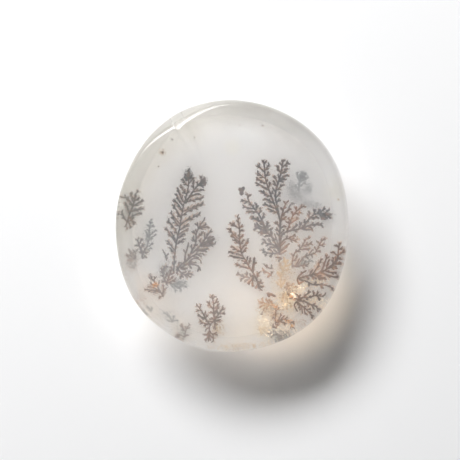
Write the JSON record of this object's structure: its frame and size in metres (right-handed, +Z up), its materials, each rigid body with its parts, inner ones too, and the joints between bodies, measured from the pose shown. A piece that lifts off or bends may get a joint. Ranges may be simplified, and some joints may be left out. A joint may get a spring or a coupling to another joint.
{
  "type": "polished dendritic quartz stone",
  "caption": "Polished milky quartz palm stone, nearly round, with a low dome on top, a rounder underside and fern-like dark mineral growths inside.",
  "frame": {"origin": "bottom centre of the stone's box, in the plane that its ground resting spot stands on", "axes": "+Z up out of the domed face, +Y along the stone's long way, +X across it"},
  "size_m": [0.036, 0.039, 0.0109],
  "materials": {
    "quartz": "polished, milky and see-through, with fern-like grey and brown mineral growths inside"
  },
  "bodies": {
    "root": {"stone": "quartz"}
  },
  "joints": []
}
